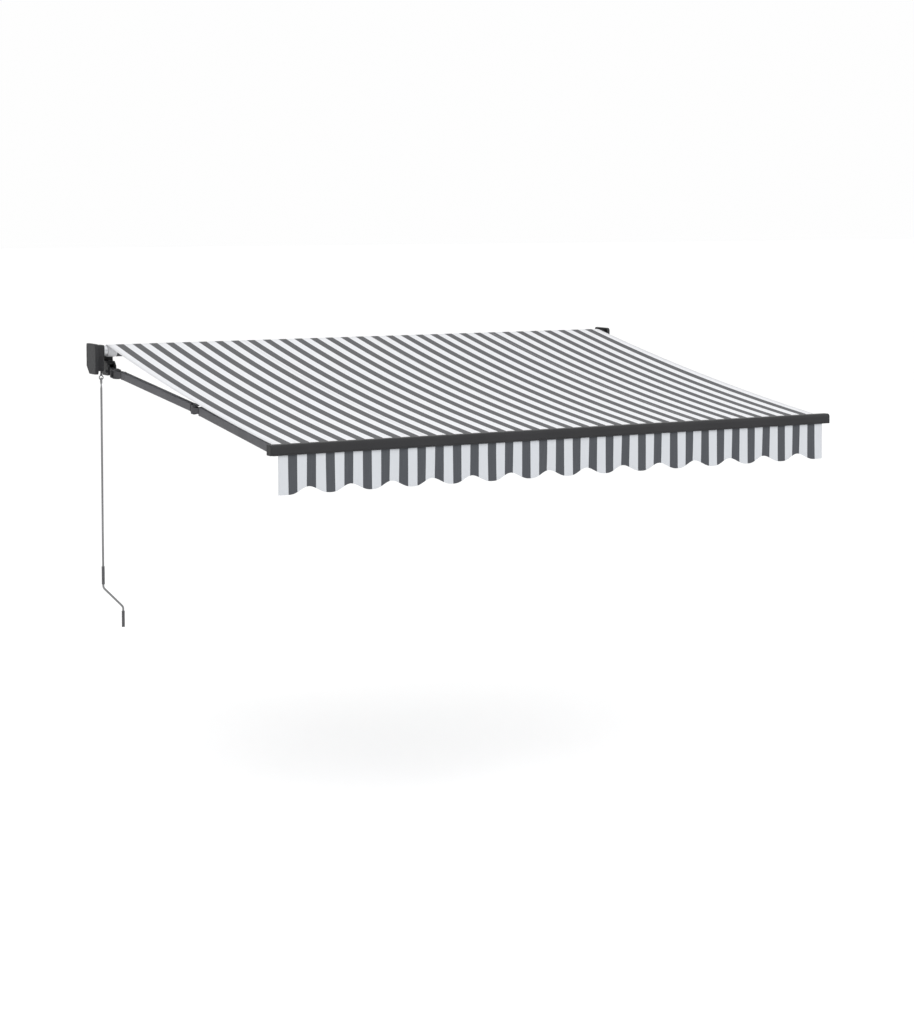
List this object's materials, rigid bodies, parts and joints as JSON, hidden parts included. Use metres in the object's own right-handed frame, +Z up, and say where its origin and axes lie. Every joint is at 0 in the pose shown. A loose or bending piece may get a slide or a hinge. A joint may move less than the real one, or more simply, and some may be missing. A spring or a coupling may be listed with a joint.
{
  "type": "folding arm awning",
  "caption": "Wall-mounted retractable awning: striped cloth on a roller, two folding elbow arms, front bar with scalloped valance and a hanging hand crank.",
  "frame": {"origin": "middle of the middle wall bracket's back face, on the wall plane", "axes": "+X to the right seen from the street, along the roller; +Y into the wall; +Z up"},
  "size_m": [3.962, 2.739, 1.861],
  "materials": {
    "frame_powder_coat": "anthracite powder coat, satin",
    "arm_powder_coat": "anthracite powder coat, satin",
    "front_bar_coat": "anthracite powder coat, satin",
    "black_plastic": "moulded, fine grain",
    "zinc_steel": "zinc plated",
    "roller_steel": "galvanised",
    "nylon": "natural",
    "crank_coat": "grey powder coat, satin",
    "striped_cloth": "woven polyester, light and anthracite block stripes"
  },
  "bodies": {
    "wall_frame": {"torsion_bar": "frame_powder_coat", "wall_bracket_left": "frame_powder_coat", "wall_bracket_middle": "frame_powder_coat", "wall_bracket_right": "frame_powder_coat", "bracket_bolt_left": "zinc_steel", "bracket_bolt_middle": "zinc_steel", "bracket_bolt_right": "zinc_steel", "end_plate_left": "frame_powder_coat", "end_plate_right": "frame_powder_coat", "gearbox_housing": "black_plastic", "gearbox_cover": "black_plastic", "bearing_block_right": "black_plastic", "shoulder_mount_left": "frame_powder_coat", "shoulder_head_left": "frame_powder_coat", "tilt_bolt_left": "zinc_steel", "tilt_screw_left": "zinc_steel", "shoulder_pin_left": "zinc_steel", "shoulder_mount_right": "frame_powder_coat", "shoulder_head_right": "frame_powder_coat", "tilt_bolt_right": "zinc_steel", "tilt_screw_right": "zinc_steel", "shoulder_pin_right": "zinc_steel", "canopy": "striped_cloth"},
    "roller": {"roller_tube": "roller_steel", "fabric_roll": "striped_cloth", "roller_plug_left": "nylon", "roller_plug_right": "nylon", "worm_wheel": "zinc_steel"},
    "crank": {"worm_shaft": "zinc_steel", "crank_rod": "crank_coat"},
    "sleeve": {"crank_sleeve": "black_plastic"},
    "handle": {"crank_handle": "black_plastic"},
    "upper_arm_left": {"upper_arm_profile_left": "arm_powder_coat", "shoulder_eye_left": "frame_powder_coat", "elbow_fork_left": "frame_powder_coat", "elbow_pin_left": "zinc_steel", "arm_spring_left": "zinc_steel", "arm_cable_left": "zinc_steel"},
    "forearm_left": {"forearm_profile_left": "arm_powder_coat", "elbow_eye_left": "frame_powder_coat", "front_eye_left": "frame_powder_coat"},
    "upper_arm_right": {"upper_arm_profile_right": "arm_powder_coat", "shoulder_eye_right": "frame_powder_coat", "elbow_fork_right": "frame_powder_coat", "elbow_pin_right": "zinc_steel", "arm_spring_right": "zinc_steel", "arm_cable_right": "zinc_steel"},
    "forearm_right": {"forearm_profile_right": "arm_powder_coat", "elbow_eye_right": "frame_powder_coat", "front_eye_right": "frame_powder_coat"},
    "front_bar": {"front_bar": "front_bar_coat", "front_cap_left": "black_plastic", "front_cap_right": "black_plastic", "front_bracket_left": "frame_powder_coat", "front_bracket_right": "frame_powder_coat", "front_pin_left": "zinc_steel", "front_pin_right": "zinc_steel", "canopy_rod": "nylon", "valance_rod": "nylon", "valance": "striped_cloth"}
  },
  "joints": [
    {"name": "shoulder_left", "type": "hinge", "parent": "wall_frame", "child": "upper_arm_left", "pos_m": [-1.87, -0.215, -0.128], "axis": [0, -0.1158, 0.9933], "range_deg": [0, 85], "deforming": ["canopy"]},
    {"name": "elbow_left", "type": "hinge", "parent": "upper_arm_left", "child": "forearm_left", "pos_m": [-1.836, -1.405, -0.26674], "axis": [0, -0.1158, 0.9933], "range_deg": [-170, 0]},
    {"name": "front_left", "type": "hinge", "parent": "forearm_left", "child": "front_bar", "pos_m": [-1.87, -2.595, -0.40548], "axis": [0, -0.1158, 0.9933], "range_deg": [0, 85]},
    {"name": "shoulder_right", "type": "hinge", "parent": "wall_frame", "child": "upper_arm_right", "pos_m": [1.87, -0.215, -0.128], "axis": [0, -0.1158, 0.9933], "range_deg": [-85, 0]},
    {"name": "elbow_right", "type": "hinge", "parent": "upper_arm_right", "child": "forearm_right", "pos_m": [1.836, -1.405, -0.26674], "axis": [0, -0.1158, 0.9933], "range_deg": [0, 170]},
    {"name": "roller_turn", "type": "hinge", "parent": "wall_frame", "child": "roller", "pos_m": [0, -0.115, 0.019], "axis": [1, 0, 0], "continuous": true},
    {"name": "crank_turn", "type": "hinge", "parent": "wall_frame", "child": "crank", "pos_m": [-1.956, -0.159, -0.042], "axis": [0, 0, 1], "continuous": true},
    {"name": "sleeve_spin", "type": "hinge", "parent": "crank", "child": "sleeve", "pos_m": [-1.956, -0.159, -1.443], "axis": [0, 0, 1], "continuous": true},
    {"name": "handle_spin", "type": "hinge", "parent": "crank", "child": "handle", "pos_m": [-1.82, -0.159, -1.741], "axis": [0, 0, 1], "continuous": true}
  ],
  "couplings": [
    {"joint": "elbow_left", "follows": "shoulder_left", "ratio": -2},
    {"joint": "front_left", "follows": "shoulder_left", "ratio": 1},
    {"joint": "shoulder_right", "follows": "shoulder_left", "ratio": -1},
    {"joint": "elbow_right", "follows": "shoulder_left", "ratio": 2},
    {"joint": "crank_turn", "follows": "roller_turn", "ratio": 22}
  ]
}
